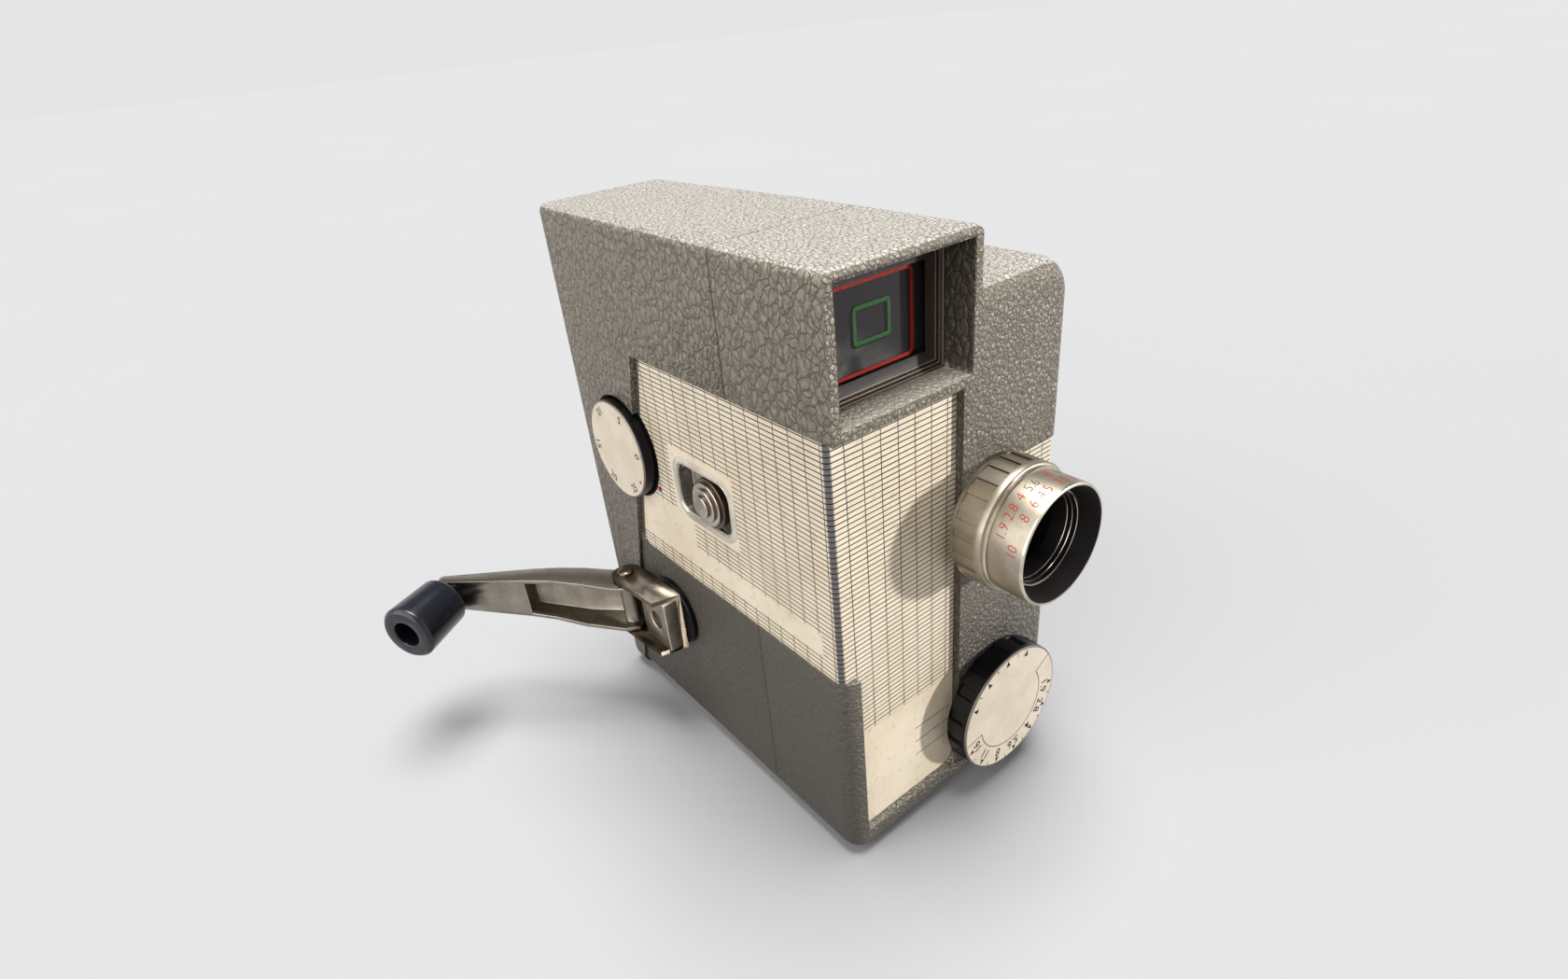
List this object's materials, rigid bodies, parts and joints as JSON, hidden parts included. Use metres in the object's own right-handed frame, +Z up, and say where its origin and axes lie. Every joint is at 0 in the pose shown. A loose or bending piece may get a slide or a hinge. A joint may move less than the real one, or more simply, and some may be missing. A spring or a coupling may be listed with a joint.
{
  "type": "movie camera",
  "caption": "Small spring-driven movie camera with a folding winding crank, a lens with turning rings, two dials, a finder hood and a film door.",
  "frame": {"origin": "centre of the mouth of the tripod socket, in the underside", "axes": "+Z up, -Y the way the lens looks, -X the side with the crank, +X the side with the film door"},
  "size_m": [0.125, 0.1302, 0.1278],
  "materials": {
    "housing": "hammered paint",
    "steel": "satin",
    "nickel": "polished",
    "brass": "satin",
    "aluminium": "satin",
    "printed": "printed",
    "black_plastic": "gloss",
    "black_paint": "matt",
    "face": "printed",
    "glass": "clear",
    "red_line": "satin",
    "green_line": "satin"
  },
  "bodies": {
    "case": {"front_housing": "housing", "rear_housing": "housing", "hinge_pin": "steel", "printed_plate": "printed", "lens_side_plate": "printed", "dial_well": "black_paint", "button_dish": "nickel", "finder_window": "glass", "finder_frame_wide": "red_line", "finder_frame_tele": "green_line", "finder_rear_lens": "glass", "eyepiece_ring": "black_plastic", "tripod_bush": "steel", "key_disc": "black_plastic", "ratchet_pawl": "steel", "lens_mount": "aluminium", "lens_cell": "aluminium", "lens_front_glass": "glass", "lens_rear_glass": "glass", "mechanism_plate": "brass", "plate_pillar_1": "steel", "plate_pillar_2": "steel", "plate_pillar_3": "steel", "shutter_bracket": "brass", "film_gate": "steel", "pad_block": "brass"},
    "winding_key": {"key_bracket": "nickel", "key_hub": "nickel", "key_shaft": "steel", "key_screw": "brass", "pivot_pin": "steel", "ratchet_wheel": "steel"},
    "arm": {"crank_arm": "nickel", "knob_pin": "steel"},
    "knob": {"crank_knob": "black_plastic"},
    "iris": {"iris_ring": "aluminium", "iris_barrel": "aluminium"},
    "exposure_dial": {"exposure_knob": "black_plastic", "exposure_face": "face", "exposure_shaft": "steel"},
    "footage_dial": {"footage_knob": "black_plastic", "footage_face": "face", "footage_shaft": "steel"},
    "button": {"start_button": "nickel", "button_slider": "steel"},
    "drum": {"spring_drum": "steel", "mainspring": "steel", "drum_wheel": "brass"},
    "second_arbor": {"second_wheel": "brass"},
    "third_arbor": {"third_wheel": "brass"},
    "governor_arbor": {"governor": "brass"},
    "shutter": {"shutter_disc": "black_paint"},
    "take_up": {"take_up_spindle": "aluminium"},
    "supply": {"supply_spindle": "aluminium"},
    "claw": {"film_claw": "steel"},
    "pad": {"pressure_pad": "steel"},
    "door": {"film_door": "housing"},
    "latch": {"door_latch": "nickel"}
  },
  "joints": [
    {"name": "key_turn", "type": "hinge", "parent": "case", "child": "winding_key", "pos_m": [-0.0315, 0.0225, 0.034], "axis": [1, 0, 0], "continuous": true},
    {"name": "crank_fold", "type": "hinge", "parent": "winding_key", "child": "arm", "pos_m": [-0.0369, 0.0348, 0.034], "axis": [0, 0, 1], "range_deg": [-42, 48]},
    {"name": "knob_turn", "type": "hinge", "parent": "arm", "child": "knob", "pos_m": [-0.07143, 0.06897, 0.0353], "axis": [-0.848, -0.5299, 0], "continuous": true},
    {"name": "iris_turn", "type": "hinge", "parent": "case", "child": "iris", "pos_m": [0.0098, -0.04, 0.0697], "axis": [0, 1, 0], "range_deg": [0, 110]},
    {"name": "exposure_turn", "type": "hinge", "parent": "case", "child": "exposure_dial", "pos_m": [0.0117, -0.04, 0.0206], "axis": [0, 1, 0], "continuous": true},
    {"name": "button_slide", "type": "slide", "parent": "case", "child": "button", "axis": [0, 1, 0], "range_m": [0, 0.005], "stiffness_N_per_m": 200, "springref_m": -0.002},
    {"name": "drum_turn", "type": "hinge", "parent": "case", "child": "drum", "pos_m": [-0.0315, 0.0225, 0.034], "axis": [1, 0, 0], "continuous": true},
    {"name": "second_turn", "type": "hinge", "parent": "case", "child": "second_arbor", "pos_m": [-0.0315, 0.0045, 0.05674], "axis": [1, 0, 0], "continuous": true},
    {"name": "third_turn", "type": "hinge", "parent": "case", "child": "third_arbor", "pos_m": [-0.0315, -0.00817, 0.0697], "axis": [1, 0, 0], "continuous": true},
    {"name": "governor_turn", "type": "hinge", "parent": "case", "child": "governor_arbor", "pos_m": [-0.0315, 0.00443, 0.07455], "axis": [1, 0, 0], "continuous": true},
    {"name": "shutter_turn", "type": "hinge", "parent": "case", "child": "shutter", "pos_m": [-0.00595, -0.04, 0.0697], "axis": [0, 1, 0], "continuous": true},
    {"name": "take_up_turn", "type": "hinge", "parent": "case", "child": "take_up", "pos_m": [-0.0315, 0.0225, 0.034], "axis": [1, 0, 0], "continuous": true},
    {"name": "footage_turn", "type": "hinge", "parent": "case", "child": "footage_dial", "pos_m": [-0.0315, 0.0326, 0.0757], "axis": [1, 0, 0], "continuous": true},
    {"name": "supply_turn", "type": "hinge", "parent": "case", "child": "supply", "pos_m": [-0.0315, 0.0225, 0.087], "axis": [1, 0, 0], "continuous": true},
    {"name": "claw_slide", "type": "slide", "parent": "case", "child": "claw", "axis": [0, 0, 1], "range_m": [-0.0019, 0.0019]},
    {"name": "pad_slide", "type": "slide", "parent": "case", "child": "pad", "axis": [0, 1, 0], "range_m": [0, 0.0015], "stiffness_N_per_m": 60, "springref_m": -0.001},
    {"name": "door_swing", "type": "hinge", "parent": "case", "child": "door", "pos_m": [0.0327, 0.0451, 0.057], "axis": [0, 0, 1], "range_deg": [0, 105]},
    {"name": "latch_turn", "type": "hinge", "parent": "door", "child": "latch", "pos_m": [0.0315, -0.024, 0.0575], "axis": [1, 0, 0], "range_deg": [0, 90]}
  ],
  "couplings": [
    {"joint": "second_turn", "follows": "drum_turn", "ratio": -3.8333},
    {"joint": "third_turn", "follows": "drum_turn", "ratio": 7.6667},
    {"joint": "governor_turn", "follows": "drum_turn", "ratio": -15.333},
    {"joint": "shutter_turn", "follows": "drum_turn", "ratio": -17.692},
    {"joint": "take_up_turn", "follows": "drum_turn", "ratio": 2.7381},
    {"joint": "footage_turn", "follows": "drum_turn", "ratio": 0.04}
  ]
}
